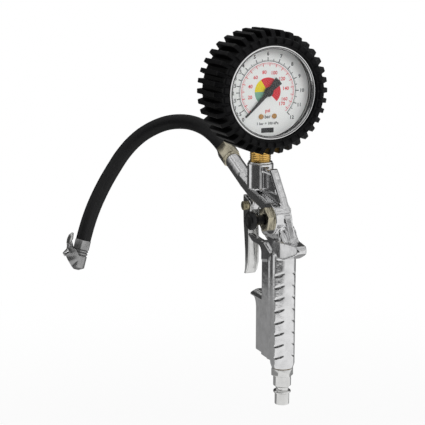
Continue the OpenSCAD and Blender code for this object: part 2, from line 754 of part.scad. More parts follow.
// Rubber boot: a ring with tyre-like lugs, a front lip over the bezel and a slot for the socket
module rubber_boot() color("dimgray") difference() {
  union() {
    bar_y(boot_base_r, boot_y0, boot_y1, dial_z);
    translate([0, boot_y1 - 1.5, dial_z]) rotate([90, 0, 0]) linear_extrude(boot_y1 - boot_y0 - 4) polygon([
      for (i = [0:lug_n - 1], s = [[-0.31, -1], [-0.2, lug_depth], [0.2, lug_depth], [0.31, -1]])
        let (a = (i + s[0]) * 360 / lug_n) (boot_base_r + s[1]) * [cos(a), sin(a)]
    ]);
  }
  bar_y(lip_r, boot_y0 - over, boot_y1, dial_z);
  bar_y(boot_in_r, bezel_y0 - 0.1, case_y1 + 0.1, dial_z);
  bar_y(boot_in_r - 5, boot_y0, boot_y1 + over, dial_z);
  translate([-socket_half - 0.4, port_y - socket_half - 0.4, port_z])
    cube([2 * socket_half + 0.8, 2 * socket_half + 0.8, dial_rise - case_r + 4]);
}

// ---------------------------------------------------------------- hose

module hose_nut() color("darkkhaki") on_outlet() difference() {
  union() {
    cylinder(h = 2.5, r = outlet_r + 0.3);
    translate([0, 0, 2.5]) rotate([0, 0, 8])
      cylinder(h = hose_nut_len - 2.5, r = hose_nut_af / 2 / cos(30), $fn = 6);
  }
  translate([0, 0, -over]) cylinder(h = hose_nut_len + 2 * over, r = barb_r + fit);
}

module hose_barb() color("gold") on_outlet() difference() {
  translate([0, 0, -barb_in + 1]) cylinder(h = barb_in + hose_nut_len - 1, r = barb_r);
  translate([0, 0, -barb_in]) cylinder(h = barb_in + hose_nut_len + over, r = 1.8);
}

// Direction of the hose at each route point: along the outlet, between neighbours, along the chuck
function unit(v) = v / norm(v);
chuck_up = [
  cos(chuck_turn[2]) * sin(chuck_turn[1]) * cos(chuck_turn[0]) + sin(chuck_turn[2]) * sin(chuck_turn[0]),
  sin(chuck_turn[2]) * sin(chuck_turn[1]) * cos(chuck_turn[0]) - cos(chuck_turn[2]) * sin(chuck_turn[0]),
  cos(chuck_turn[1]) * cos(chuck_turn[0])
];
last = len(route) - 1;
function heading(i) = i == 0 ? out_dir : i == last ? -chuck_up : unit(route[i + 1] - route[i - 1]);

// Side direction square to the heading, carried from ring to ring so that the tube does not twist
function carried(side, dir) = unit(side - (side * dir) * dir);
function side_at(i) = i == 0 ? [1, 0, 0] : carried(side_at(i - 1), heading(i));
function hose_ring(i) = let (d = heading(i), s = side_at(i), t = cross(d, s))
  [for (k = [0:hose_sides - 1]) let (a = 360 * k / hose_sides)
    route[i] + hose_r * (cos(a) * s + sin(a) * t)];

module hose() color("black") polyhedron(
  points = [for (i = [0:last]) each hose_ring(i)],
  faces = concat(
    [[for (k = [hose_sides - 1:-1:0]) k]],
    [[for (k = [0:hose_sides - 1]) last * hose_sides + k]],
    [for (i = [0:last - 1], k = [0:hose_sides - 1]) let (n = (k + 1) % hose_sides)
      [i * hose_sides + k, i * hose_sides + n, (i + 1) * hose_sides + n]],
    [for (i = [0:last - 1], k = [0:hose_sides - 1]) let (n = (k + 1) % hose_sides)
      [i * hose_sides + k, (i + 1) * hose_sides + n, (i + 1) * hose_sides + k]]
  )
);

// ---------------------------------------------------------------- chuck

module chuck_nut() color("gray") in_chuck() difference() {
  translate([0, 0, -nut_len]) rotate([0, 0, 30]) cylinder(h = nut_len, r = chuck_r / cos(30), $fn = 6);
  translate([0, 0, -nut_len - over]) cylinder(h = nut_len + 2 * over, r = 2);
}

module chuck_body() color("gray") in_chuck() difference() {
  union() {
    rotate_extrude() polygon([
      [0, -nut_len], [chuck_r - 0.9, -nut_len], [chuck_r, -nut_len - 0.7], [chuck_r, -nut_len - 1.5],
      [chuck_r - 0.9, -nut_len - 2.1], [chuck_r, -nut_len - 2.7], [chuck_r, -nut_len - 3.5],
      [chuck_r - 0.9, -nut_len - 4.1], [chuck_r, -nut_len - 4.8], [chuck_r, -20.3], [chuck_r - 3.6, -22.3],
      [0, -22.3]
    ]);
    on_socket() cylinder(h = socket_out, r = rim_r);
    for (side = [-1, 1]) translate([0, side * (clip_half + 0.4 + ear_t / 2), 0]) rotate([90, 0, 0])
      linear_extrude(ear_t, center = true) polygon([
        [3, -12], [3, -8], [5.9, -nut_len - 0.3], clip_c + [-1.4, 1.6], clip_c + [0.6, 1.6],
        clip_c + [1.6, 0.6], clip_c + [1.2, -1.4], [7.4, -11]
      ]);
  }
  translate([0, 0, socket_c[1]]) cylinder(h = 10, r = 1.5);
  on_socket() translate([0, 0, socket_out - socket_deep]) cylinder(h = socket_deep + over, r = socket_r);
  on_socket() translate([0, 0, socket_out - mouth_c])
    cylinder(h = mouth_c + over, r1 = socket_r, r2 = socket_r + mouth_c + over);
  on_socket() translate([0, 0, seal_z - fit]) cylinder(h = seal_t + over, r = seal_r + fit);
  on_socket() cylinder(h = socket_out, r = 1.5);
  on_socket() translate([0, 0, socket_out]) cylinder(h = 8, r = rim_r + 3);
  bar_y(clip_pin_r + fit, -8, 8, clip_c[1], clip_c[0]);
}

module chuck_seal() color("black") in_chuck() on_socket() difference() {
  translate([0, 0, seal_z]) cylinder(h = seal_t, r = seal_r);
  translate([0, 0, seal_z - over]) cylinder(h = seal_t + 2 * over, r = 1.9);
}

module core_pin() color("gold") in_chuck() on_socket() {
  translate([0, 0, -1]) cylinder(h = socket_out - socket_deep + 0.7, r = 0.8);
  translate([0, 0, 0.2]) cylinder(h = 0.9, r = 1.45);
}

// Clip lever: a thumb tab above the pin and a claw that hooks over the socket's mouth
module clip_lever() color("lightgray") in_chuck() difference() {
  rotate([90, 0, 0]) translate([0, 0, -clip_half]) linear_extrude(2 * clip_half) polygon([
    [8.3, 3.2], [9.4, 3.4], [11, 1.4], [11.6, -1.6], [11.4, -4.4], [10.5, -6.8], [10.3, -9], [12.4, -12.7],
    [10.45, -14.83], [9.8, -14.2], [11.2, -12.55], [8.9, -10.2], [7.2, -8.2], [7.2, -4.6], [8.2, -2.6],
    [7.7, -1]
  ]);
  bar_y(clip_pin_r + fit, -8, 8, clip_c[1], clip_c[0]);
  translate([5, -1.7, -9.2]) cube([5.2, 3.4, 5.6]);
}

module clip_pin() color("dimgray") in_chuck()
  bar_y(clip_pin_r, -clip_half - 2.3, clip_half + 2.3, clip_c[1], clip_c[0]);

module clip_spring() color("gray") in_chuck() difference() {
  bar_y(1.35, -1.35, 1.35, clip_c[1], clip_c[0]);
  bar_y(clip_pin_r, -3, 3, clip_c[1], clip_c[0]);
}

gun_body();
inlet_plug();
inlet_washer();
trigger_lever();
trigger_pin();
pin_clip();
valve_seat();
valve_disc();
valve_stem();
valve_spring();
valve_cap();
stem_seal();
bleed_nut();
bleed_seal();
bleed_stem();
bleed_spring();
bleed_button();
gauge_washer();
gauge_socket();
gauge_case();
bezel_ring();
gauge_lens();
lens_gasket();
dial_plate();
dial_screws();
gauge_pointer();
pointer_arbor();
sector_gear();
movement_frame();
hairspring();
bourdon_tube();
tube_link();
rubber_boot();
hose_nut();
hose_barb();
hose();
chuck_nut();
chuck_body();
chuck_seal();
core_pin();
clip_lever();
clip_pin();
clip_spring();
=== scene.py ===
"""Pistol-grip tyre inflator: cast body, booted dial gauge, short hose and clip-on chuck."""
import json
from math import cos, pi, radians, sin

import bmesh
import bpy
import numpy as np
from mathutils import Matrix, Vector


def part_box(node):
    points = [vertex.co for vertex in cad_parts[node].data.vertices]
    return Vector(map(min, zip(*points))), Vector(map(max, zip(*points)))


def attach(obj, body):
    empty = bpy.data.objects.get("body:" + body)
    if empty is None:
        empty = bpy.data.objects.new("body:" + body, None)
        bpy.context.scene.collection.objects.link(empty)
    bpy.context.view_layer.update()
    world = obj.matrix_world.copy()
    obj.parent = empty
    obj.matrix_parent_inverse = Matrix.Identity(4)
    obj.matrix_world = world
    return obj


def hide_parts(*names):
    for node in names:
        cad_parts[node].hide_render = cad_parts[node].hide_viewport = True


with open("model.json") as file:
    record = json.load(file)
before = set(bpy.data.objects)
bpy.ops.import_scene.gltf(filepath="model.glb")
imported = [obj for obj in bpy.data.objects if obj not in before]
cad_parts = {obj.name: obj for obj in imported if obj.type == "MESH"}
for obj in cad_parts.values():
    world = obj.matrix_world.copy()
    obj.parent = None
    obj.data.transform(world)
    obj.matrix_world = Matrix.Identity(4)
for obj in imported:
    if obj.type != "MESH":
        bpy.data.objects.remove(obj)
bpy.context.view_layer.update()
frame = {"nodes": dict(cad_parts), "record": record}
nodes = frame["nodes"]
scene = bpy.context.scene
scene.view_settings.view_transform = "Standard"
MM = 0.001


# ---------------------------------------------------------------- camera

IMAGE_PX = 425
FOCAL_PX = 1308
SENSOR = 36.0
AZIMUTH = radians(-22.5)
ELEVATION = radians(11.5)
PLUG_TIP_PX = (281.8, 403.0)
PLUG_TIP_DEPTH = 0.8816


def level_axes(azimuth, elevation):
    """Right, up and forward of a level camera that looks along +Y at azimuth 0, down by its elevation."""
    forward = np.array([-sin(azimuth) * cos(elevation), cos(azimuth) * cos(elevation), -sin(elevation)])
    right = np.array([cos(azimuth), sin(azimuth), 0.0])
    return right, np.cross(right, forward), forward


def place_camera():
    """Puts the camera where the plug's tip, the origin, falls on its pixel at its depth."""
    right, up, forward = level_axes(AZIMUTH, ELEVATION)
    across = (PLUG_TIP_PX[0] - IMAGE_PX / 2) / FOCAL_PX * PLUG_TIP_DEPTH
    along = (IMAGE_PX / 2 - PLUG_TIP_PX[1]) / FOCAL_PX * PLUG_TIP_DEPTH
    place = -(forward * PLUG_TIP_DEPTH + right * across + up * along)
    data = bpy.data.cameras.new("camera")
    data.sensor_width = SENSOR
    data.lens = SENSOR * FOCAL_PX / IMAGE_PX
    data.clip_start = 0.02
    camera = bpy.data.objects.new("camera", data)
    scene.collection.objects.link(camera)
    turn = Matrix((right, up, -forward)).transposed()
    camera.matrix_world = Matrix.Translation(Vector(place)) @ turn.to_4x4()
    scene.camera = camera


place_camera()


# ---------------------------------------------------------------- surfaces

def volume(points, quads):
    """Six times the volume inside quads, as the sum of the triple products of each quad's two triangles."""
    a, b, c, d = (points[quads[:, k]] for k in range(4))
    return np.einsum("ij,ij->", a, np.cross(b, c)) + np.einsum("ij,ij->", a, np.cross(c, d))


def surface(name, rings, body="frame", loop=False, uv_scale=None):
    """A closed skin over rings, an array [ring, point, xyz] whose points go round.

    Each point is joined to the next in its ring and to the same point of the next ring. The last ring is joined
    to the first if loop is set, and otherwise the first and last rings each get one closing face.
    """
    ring_n, point_n = rings.shape[:2]
    points = rings.reshape(-1, 3)
    i, j = np.meshgrid(np.arange(ring_n if loop else ring_n - 1), np.arange(point_n), indexing="ij")
    i2, j2 = (i + 1) % ring_n, (j + 1) % point_n
    quads = np.stack([i * point_n + j, i * point_n + j2, i2 * point_n + j2, i2 * point_n + j], -1).reshape(-1, 4)
    flipped = volume(points, quads) < 0
    if flipped:
        quads = quads[:, ::-1]
    faces = quads.tolist()
    if not loop:
        first, last = np.arange(point_n), np.arange(point_n) + (ring_n - 1) * point_n
        faces += [first.tolist() if flipped else first[::-1].tolist()]
        faces += [last[::-1].tolist() if flipped else last.tolist()]
    piece = mesh_piece(name, points, faces, body)
    if uv_scale:
        turn = np.stack([np.stack([j, i], -1), np.stack([j + 1, i], -1), np.stack([j + 1, i + 1], -1),
                         np.stack([j, i + 1], -1)], 2).reshape(-1, 4, 2) * np.array(uv_scale)
        if flipped:
            turn = turn[:, ::-1]
        layer = piece.data.uv_layers.new(name="UVMap")
        flat = np.zeros((len(piece.data.loops), 2))
        flat[:quads.size] = turn.reshape(-1, 2)
        layer.data.foreach_set("uv", flat.ravel())
    return piece


def mesh_piece(name, points, faces, body="frame", smooth=True):
    """An object at the origin made of points and faces, riding on a body."""
    mesh = bpy.data.meshes.new(name)
    mesh.from_pydata(np.asarray(points, float).tolist(), [], faces)
    mesh.validate()
    mesh.polygons.foreach_set("use_smooth", np.full(len(mesh.polygons), smooth))
    piece = bpy.data.objects.new(name, mesh)
    scene.collection.objects.link(piece)
    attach(piece, body)
    return piece


def smooth_path(points, start_way, end_way, steps):
    """A cubic curve through points, at steps + 1 places an equal length apart.

    Each span is p0 h00 + m0 h10 + p1 h01 + m1 h11, the Hermite blend, and the slope m at a point is half the way
    from the point before it to the one after it.
    """
    points = np.asarray(points, float)
    slope = np.empty_like(points)
    slope[1:-1] = (points[2:] - points[:-2]) / 2
    slope[0] = start_way * np.linalg.norm(points[1] - points[0])
    slope[-1] = end_way * np.linalg.norm(points[-1] - points[-2])
    t = np.linspace(0, 1, 40, endpoint=False)[None, :, None]
    p0, p1, m0, m1 = (a[:, None, :] for a in (points[:-1], points[1:], slope[:-1], slope[1:]))
    curve = (p0 * (2 * t**3 - 3 * t**2 + 1) + m0 * (t**3 - 2 * t**2 + t)
             + p1 * (3 * t**2 - 2 * t**3) + m1 * (t**3 - t**2)).reshape(-1, 3)
    curve = np.vstack([curve, points[-1]])
    run = np.r_[0, np.cumsum(np.linalg.norm(np.diff(curve, axis=0), axis=1))]
    even = np.linspace(0, run[-1], steps + 1)
    return np.stack([np.interp(even, run, curve[:, k]) for k in range(3)], -1), run[-1]


def tube_rings(path, radius, sides, reference):
    """Circles square to a path: centre + radius (cos a side + sin a up), where side is square to the path's
    direction and to a fixed reference that the path never runs along."""
    way = np.gradient(path, axis=0)
    way /= np.linalg.norm(way, axis=1)[:, None]
    side = np.cross(way, reference)
    side /= np.linalg.norm(side, axis=1)[:, None]
    up = np.cross(side, way)
    a = np.linspace(0, 2 * pi, sides, endpoint=False)[None, :, None]
    radius = np.broadcast_to(radius, len(path))[:, None, None]
    return path[:, None] + radius * (np.cos(a) * side[:, None] + np.sin(a) * up[:, None])


# ---------------------------------------------------------------- hose

HOSE_OD = 11 * MM
HOSE_SLOPE = radians(23)
HOSE_ROUTE = np.array([
    [0, 98, 159], [0, 108, 163], [-1.5, 118, 167.3], [-4.5, 127.5, 171], [-10, 137, 173.6],
    [-16.5, 145.3, 174], [-24, 152.7, 172.4], [-32, 158.6, 168.6], [-40.4, 162.8, 163],
    [-48.5, 164.7, 155.9], [-56, 164.6, 147.8], [-63, 162.6, 139.3], [-69.8, 159.5, 131],
    [-76.2, 155.8, 122.6], [-82, 152.4, 113.8], [-87.4, 149.4, 103.4], [-92.5, 147, 90]]) * MM
CHUCK_UP = np.array([0.295, 0.092, 0.951])
hose_path, hose_length = smooth_path(
    HOSE_ROUTE, np.array([0, cos(HOSE_SLOPE), sin(HOSE_SLOPE)]), -CHUCK_UP, 200)
hose = surface("hose_tube", tube_rings(hose_path, HOSE_OD / 2, 48, np.array([0.8, 0.6, 0.0])),
               uv_scale=(1 / 48, hose_length / (pi * HOSE_OD) / 200))
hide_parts("hose")


# ---------------------------------------------------------------- materials

# Spots of duller metal in a metre
PATCHES = 160


def blank(name):
    """A new material, its node tree and its main shader."""
    material = bpy.data.materials.new(name)
    material.use_nodes = True
    return material, material.node_tree, material.node_tree.nodes["Principled BSDF"]


def put(tree, kind, settings=(), **inputs):
    """A node of a kind with its settings, its inputs set to values or joined to other sockets."""
    node = tree.nodes.new("ShaderNode" + kind)
    for key, value in dict(settings).items():
        setattr(node, key, value)
    for key, value in inputs.items():
        socket = node.inputs[int(key[1:])] if key[1:].isdigit() else node.inputs[key.replace("_", " ")]
        if isinstance(value, bpy.types.NodeSocket):
            tree.links.new(value, socket)
        else:
            socket.default_value = value
    return node


def place_of(tree, turn=(0, 0, 0), uv=False):
    """Object coordinates, or the piece's own UV map, turned."""
    coordinates = put(tree, "TexCoord").outputs["UV" if uv else "Object"]
    return put(tree, "Mapping", Vector=coordinates, Rotation=turn).outputs[0]


def grain(tree, scale, detail=3.0, place=None):
    """Soft noise from 0 to 1 whose spots are about 1 / scale metres wide."""
    return put(tree, "TexNoise", Vector=place or place_of(tree), Scale=scale, Detail=detail,
               Roughness=0.55).outputs[0]


def spread(tree, value, low, high):
    """The middle of a noise, between 0.3 and 0.7, carried over to low and high."""
    return put(tree, "MapRange", Value=value, From_Min=0.3, From_Max=0.7, To_Min=low, To_Max=high).outputs[0]


def tint(tree, value, stops):
    """A colour ramp: stops are (place, colour)."""
    node = put(tree, "ValToRGB", Fac=value)
    ramp = node.color_ramp
    while len(ramp.elements) < len(stops):
        ramp.elements.new(0.5)
    for element, (at, colour) in zip(ramp.elements, stops):
        element.position = at
        element.color = (*colour, 1)
    return node.outputs[0]


def relief(tree, layers):
    """Bumps laid over each other: layers are (height, depth in millimetres)."""
    normal = None
    for height, depth in layers:
        extra = {"Normal": normal} if normal else {}
        normal = put(tree, "Bump", Height=height, Distance=depth * MM, Strength=1.0, **extra).outputs[0]
    return normal


def shade(colour, by):
    """A colour made darker or lighter by a factor."""
    return tuple(min(1.0, c * by) for c in colour)


def metal(name, colour, rough, dull, wave=(90, 0.05), pits=(1400, 0.01)):
    """Bare or plated metal: soft waves left by casting or polishing, fine pits and duller patches. Waves and pits
    are (spots per metre, depth in millimetres)."""
    material, tree, shader = blank(name)
    patches = grain(tree, PATCHES, 4)
    fine = grain(tree, pits[0], 2)
    layers = [(grain(tree, wave[0], 2), wave[1]), (fine, pits[1])]
    tree.links.new(tint(tree, patches, [(0.3, shade(colour, dull)), (0.62, colour)]), shader.inputs["Base Color"])
    tree.links.new(spread(tree, patches, rough[1], rough[0]), shader.inputs["Roughness"])
    tree.links.new(relief(tree, layers), shader.inputs["Normal"])
    shader.inputs["Metallic"].default_value = 1.0
    return material


def coating(name, colour, rough=(0.45, 0.6), vary=0.8, wave=(120, 0.03), skin=(2500, 0.02), shine=0.5, uv=False):
    """Rubber, plastic or paint: a slow change of tone, a fine skin grain and its shine. Wave and skin are
    (spots per metre, depth in millimetres)."""
    material, tree, shader = blank(name)
    place = place_of(tree, uv=uv)
    tone = grain(tree, wave[0], 3, place)
    layers = [(tone, wave[1]), (grain(tree, skin[0], 2, place), skin[1])]
    tree.links.new(tint(tree, tone, [(0.32, shade(colour, vary)), (0.68, colour)]), shader.inputs["Base Color"])
    tree.links.new(spread(tree, tone, rough[0], rough[1]), shader.inputs["Roughness"])
    tree.links.new(relief(tree, layers), shader.inputs["Normal"])
    shader.inputs["Specular IOR Level"].default_value = shine
    return material


def rolled_rim(name, node, greys):
    """Bright metal with painted reflections: dark and bright bands are painted into its colour round the dial's
    axis, in place of the reflections and shade of a rolled-over rim. Greys are (share of the ring's radius, grey).
    """
    low, high = (np.array(v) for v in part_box(node))
    outer = (high[0] - low[0]) / 2
    material, tree, shader = blank(name)
    flat = put(tree, "VectorMath", {"operation": "MULTIPLY"}, _0=place_of(tree), _1=(1, 0, 1)).outputs[0]
    off = put(tree, "VectorMath", {"operation": "SUBTRACT"}, _0=flat,
              _1=((low[0] + high[0]) / 2, 0, (low[2] + high[2]) / 2)).outputs[0]
    away = put(tree, "VectorMath", {"operation": "LENGTH"}, _0=off).outputs["Value"]
    share = put(tree, "MapRange", Value=away, From_Min=outer * PAINTED_BANDS_FROM, From_Max=outer).outputs[0]
    tree.links.new(tint(tree, share, [((at - PAINTED_BANDS_FROM) / (1 - PAINTED_BANDS_FROM), (g, g, g)) for at, g in greys]),
                   shader.inputs["Base Color"])
    tree.links.new(spread(tree, grain(tree, PATCHES, 4), 0.12, 0.25), shader.inputs["Roughness"])
    shader.inputs["Metallic"].default_value = 1.0
    return material


def window(name):
    """Clear plastic: see-through, with the glint that grows at a low angle."""
    material, tree, shader = blank(name)
    tree.nodes.remove(shader)
    clear = put(tree, "BsdfTransparent", Color=(0.985, 0.99, 0.99, 1))
    glint = put(tree, "BsdfGlossy", Roughness=0.04, Color=(1, 1, 1, 1))
    mix = put(tree, "MixShader", _0=put(tree, "Fresnel", IOR=1.35).outputs[0], _1=clear.outputs[0],
              _2=glint.outputs[0])
    tree.links.new(mix.outputs[0], tree.nodes["Material Output"].inputs[0])
    return material


# Painted reflections and painted shade: dark and bright bands painted into the gauge rim's colour, by the share of
# its outer radius, from the first share outwards
PAINTED_BANDS_FROM = 0.85
RIM_PAINTED_REFLECTION_GREYS = [(PAINTED_BANDS_FROM, 0.5), (0.93, 0.62), (0.935, 0.06), (0.95, 0.06), (0.955, 0.75), (0.975, 0.7), (0.98, 0.08),
             (1.0, 0.1)]

MATERIALS = {
    "cast_alloy": metal("cast_alloy", (0.74, 0.74, 0.745), (0.1, 0.2), 0.84, (130, 0.14), (900, 0.025)),
    "plated_steel": metal("plated_steel", (0.70, 0.70, 0.69), (0.1, 0.2), 0.86, (80, 0.04), (1600, 0.01)),
    "polished_steel": metal("polished_steel", (0.78, 0.79, 0.80), (0.05, 0.12), 0.95, (60, 0.01), (1500, 0.003)),
    "spring_steel": metal("spring_steel", (0.42, 0.42, 0.43), (0.25, 0.4), 0.8),
    "nickel_brass": metal("nickel_brass", (0.50, 0.46, 0.35), (0.14, 0.28), 0.85, (100, 0.03), (1500, 0.01)),
    "bronze_plate": metal("bronze_plate", (0.38, 0.34, 0.22), (0.25, 0.4), 0.8),
    "brass": metal("brass", (0.86, 0.55, 0.16), (0.14, 0.28), 0.85, (90, 0.03), (1500, 0.01)),
    "screw_brass": metal("screw_brass", (0.50, 0.27, 0.09), (0.2, 0.35), 0.7, (200, 0.05), (1500, 0.01)),
    "bonded_washer": coating("bonded_washer", (0.22, 0.16, 0.09)),
    "seal_rubber": coating("seal_rubber", (0.02, 0.02, 0.02)),
    "black_plastic": coating("black_plastic", (0.006, 0.006, 0.0065), (0.25, 0.36), 0.85, shine=0.25),
    "black_enamel": coating("black_enamel", (0.012, 0.012, 0.012), (0.35, 0.45), 0.9, shine=0.3),
    "white_dial": coating("white_dial", (0.93, 0.93, 0.92), (0.35, 0.45), 0.985, (60, 0.0), (2500, 0.004)),
    "clear_lens": window("clear_lens"),
    # The bezel's metal carries painted reflections and painted shade as grey bands in its colour
    "rolled_rim": rolled_rim("rolled_rim", "bezel_ring", RIM_PAINTED_REFLECTION_GREYS),
    "boot_rubber": coating("boot_rubber", (0.0035, 0.0035, 0.004), (0.28, 0.4), 0.75, (200, 0.05), (3000, 0.03),
                           shine=0.09),
    "hose_rubber": coating("hose_rubber", (0.006, 0.006, 0.0065), (0.42, 0.55), 0.8, (12, 0.05), (90, 0.02),
                           shine=0.2, uv=True),
    "cast_zinc": metal("cast_zinc", (0.34, 0.34, 0.34), (0.28, 0.42), 0.8, (150, 0.08), (1200, 0.02)),
    "ink_black": coating("ink_black", (0.008, 0.008, 0.009), (0.4, 0.5), 0.9, shine=0.2),
    "ink_grey": coating("ink_grey", (0.10, 0.10, 0.105), (0.4, 0.5), 0.9, shine=0.2),
    "ink_red": coating("ink_red", (0.76, 0.02, 0.035), (0.4, 0.5), 0.9, shine=0.2),
    "ink_pink": coating("ink_pink", (0.78, 0.16, 0.20), (0.4, 0.5), 0.9, shine=0.2),
    "ink_yellow": coating("ink_yellow", (0.92, 0.74, 0.004), (0.4, 0.5), 0.9, shine=0.2),
    "ink_green": coating("ink_green", (0.20, 0.44, 0.32), (0.4, 0.5), 0.9, shine=0.2),
}


def finish(piece, material):
    """One material on a piece, from the table of materials."""
    piece.data.materials.clear()
    piece.data.materials.append(MATERIALS[material])


finish(hose, "hose_rubber")


# ---------------------------------------------------------------- carried-over nodes

# Rounding of each node's edges, in millimetres; none where the node is hidden or has a piece of its own
EDGES = {
    "inlet_plug": 0.35, "trigger_lever": 0.5, "trigger_pin": 0.3, "pin_clip": 0.1, "valve_cap": 0.3,
    "valve_stem": 0.2, "bleed_nut": 0.35, "bleed_button": 0.3, "bleed_stem": 0.1, "gauge_washer": 0.2,
    "gauge_socket": 0.4, "gauge_case": 0.3, "bezel_ring": 0.15, "dial_screws": 0.15, "gauge_pointer": 0.08,
    "pointer_arbor": 0.05, "hose_nut": 0.35, "chuck_nut": 0.3, "chuck_body": 0.3, "clip_lever": 0.3,
    "clip_pin": 0.2,
}

SAME_PLACE = 1e-6
SHARP = radians(28)

# Nodes whose look differs from other pieces of the same material
# The bezel ring takes the metal whose colour has painted reflection bands
LOOKS = {"dial_screws": "screw_brass", "bezel_ring": "rolled_rim"}


def weld(piece):
    """Merges the corners that lie on each other."""
    merge = piece.modifiers.new("merge", "WELD")
    merge.merge_threshold = SAME_PLACE


def shade_smooth(piece):
    """Smooth shading on every face."""
    piece.data.polygons.foreach_set("use_smooth", np.ones(len(piece.data.polygons), bool))


def soften(piece, width):
    """Merges a solid's corners and rounds its sharp edges, with a smooth look across the rounding."""
    weld(piece)
    bevel = piece.modifiers.new("round", "BEVEL")
    bevel.width = width * MM
    bevel.segments = 2
    bevel.limit_method = "ANGLE"
    bevel.angle_limit = SHARP
    bevel.harden_normals = True
    shade_smooth(piece)


slots = {part["node"]: part["material_slot"] for part in frame["record"]["subparts"]}
for name, node in nodes.items():
    finish(node, LOOKS.get(name, slots[name]))
    if name in EDGES:
        soften(node, EDGES[name])


# ---------------------------------------------------------------- cast body

BODY_VOXEL = 0.52 * MM
RELAX_ROUNDS = 2


def merged_copy(node, name):
    """A copy of a solid's mesh with its corners merged."""
    mesh = nodes[node].data.copy()
    mesh.name = name
    piece = bpy.data.objects.new(name, mesh)
    scene.collection.objects.link(piece)
    weld(piece)
    return piece


def applied(piece):
    """The piece with its modifiers worked into its mesh."""
    graph = bpy.context.evaluated_depsgraph_get()
    mesh = bpy.data.meshes.new_from_object(piece.evaluated_get(graph))
    piece.modifiers.clear()
    piece.data = mesh
    mesh.name = piece.name
    return piece


def side_slab(outline, half):
    """A slab cut from a side outline of (y, z) in millimetres, as wide as half to both sides."""
    count = len(outline)
    points = [(side * half * MM, y * MM, z * MM) for side in (-1, 1) for y, z in outline]
    faces = [list(range(count))[::-1], list(range(count, 2 * count))]
    faces += [[i, (i + 1) % count, count + (i + 1) % count, count + i] for i in range(count)]
    return points, faces


def cast_piece(node, name, slabs):
    """A solid's skin and the slabs laid on it, drawn again in small even cells and relaxed, as a casting comes
    out of its mould."""
    piece = applied(merged_copy(node, name))
    grown = bmesh.new()
    grown.from_mesh(piece.data)
    for points, faces in slabs:
        corners = [grown.verts.new(point) for point in points]
        for face in faces:
            grown.faces.new([corners[i] for i in face])
    grown.to_mesh(piece.data)
    grown.free()
    remesh = piece.modifiers.new("cells", "REMESH")
    remesh.mode = "VOXEL"
    remesh.voxel_size = BODY_VOXEL
    relax = piece.modifiers.new("relax", "SMOOTH")
    relax.factor = 0.5
    relax.iterations = RELAX_ROUNDS
    applied(piece)
    shade_smooth(piece)
    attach(piece, "frame")
    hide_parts(node)
    return piece


GRIP_R = 8.2 * MM
GROOVE_Z = (34.7 + 8.0 * np.arange(8)) * MM
GROOVE_AT = radians(47)
GROOVE_SLOPE = radians(22)
GROOVE_HALF = 0.75 * MM
GROOVE_DEEP = 0.8 * MM


def carve_grooves(piece):
    """Sharpens the grooves on both sides of the handle's back. On a round of radius r a straight cut of depth d
    has the depth r cos(a) - (r - d) at the angle a from its middle, and its V has the share 1 - |h| / half at the
    height h above the sloping line of the cut."""
    count = len(piece.data.vertices)
    points = np.empty(count * 3)
    piece.data.vertices.foreach_get("co", points)
    points = points.reshape(-1, 3)
    x, y, z = points.T
    radius = np.hypot(x, y)
    off_back = np.arctan2(np.abs(x), -y) - (pi / 2 - GROOVE_AT)
    deep = np.maximum(0, radius * np.cos(off_back) - (GRIP_R - GROOVE_DEEP))
    along = GRIP_R * np.sin(off_back)
    line = z[:, None] + along[:, None] * np.tan(GROOVE_SLOPE) - GROOVE_Z
    share = np.maximum(0, 1 - np.abs(line).min(axis=1) / GROOVE_HALF)
    on_grip = (radius > GRIP_R - 1.2 * MM) & (radius < GRIP_R + 0.4 * MM) & (y < 4 * MM)
    press = np.where(on_grip, np.minimum(deep, GROOVE_DEEP) * share, 0)
    points[:, 0] -= press * x / radius
    points[:, 1] -= press * y / radius
    piece.data.vertices.foreach_set("co", points.ravel())


# The web that fills the corner between the flange and the gauge's boss, and the wider rim along its top
WEB_FROM, WEB_TOP, WEB_HALF = 142, 155.2, 1.8
RIM_BELOW, RIM_TOP, RIM_HALF = 153.9, 156.2, 2.4
INTO_BOSS = 33
WEB = side_slab([(9, WEB_FROM), (INTO_BOSS, WEB_FROM), (INTO_BOSS, WEB_TOP), (13.2, WEB_TOP)], WEB_HALF)
RIM = side_slab([(13.4, RIM_BELOW), (INTO_BOSS, RIM_BELOW), (INTO_BOSS, RIM_TOP), (14.3, RIM_TOP)], RIM_HALF)
body = cast_piece("gun_body", "body_casting", (WEB, RIM))
carve_grooves(body)
finish(body, "cast_alloy")


# ---------------------------------------------------------------- rubber boot

DIAL_LOW, DIAL_HIGH = (np.array(v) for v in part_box("dial_plate"))
DIAL_X, DIAL_Z = (DIAL_LOW[0] + DIAL_HIGH[0]) / 2, (DIAL_LOW[2] + DIAL_HIGH[2]) / 2
DIAL_Y = DIAL_LOW[1]
BOOT_LOW, BOOT_HIGH = (np.array(v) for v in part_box("rubber_boot"))
LUG_N = 36
LUG_H = 4.6 * MM
BOOT_R = (BOOT_HIGH[0] - BOOT_LOW[0]) / 2
BOOT_BASE_R = BOOT_R - LUG_H
BLOCK_H = 1.6 * MM


def step(x, low, high):
    """0 below low, 1 above high, and a soft S between."""
    t = np.clip((x - low) / (high - low), 0, 1)
    return t * t * (3 - 2 * t)


